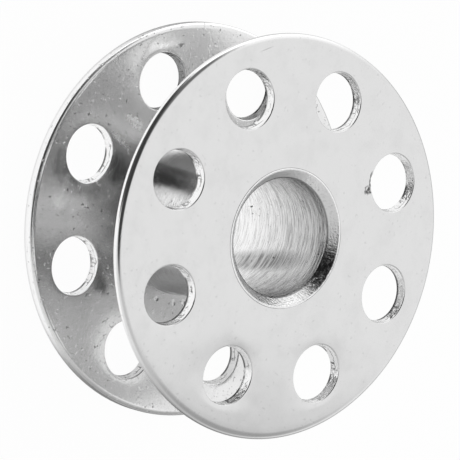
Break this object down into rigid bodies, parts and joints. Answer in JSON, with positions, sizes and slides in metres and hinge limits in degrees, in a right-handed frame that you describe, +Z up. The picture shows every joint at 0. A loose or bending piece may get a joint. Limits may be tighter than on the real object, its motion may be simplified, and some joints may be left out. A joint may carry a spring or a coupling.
{
  "type": "sewing machine bobbin",
  "caption": "Plated steel thread spool: a hollow core between dished round flanges, each with a ring of punched holes; it spins on the post of a bobbin case.",
  "frame": {"origin": "centre of the underside, on the bore's axis, at the plane of the lower flange's flat seat", "axes": "+Z up along the bore from the lower to the upper flange, +X through the middle of a hole of the upper flange"},
  "size_m": [0.021, 0.021, 0.0089],
  "materials": {
    "core": "nickel-plated steel, turned, with fine rings in the bore",
    "flange": "nickel-plated steel sheet, tumbled to a soft mirror, with fine scratches and specks"
  },
  "bodies": {
    "root": {"core_tube": "core", "upper_flange": "flange", "lower_flange": "flange"}
  },
  "joints": []
}
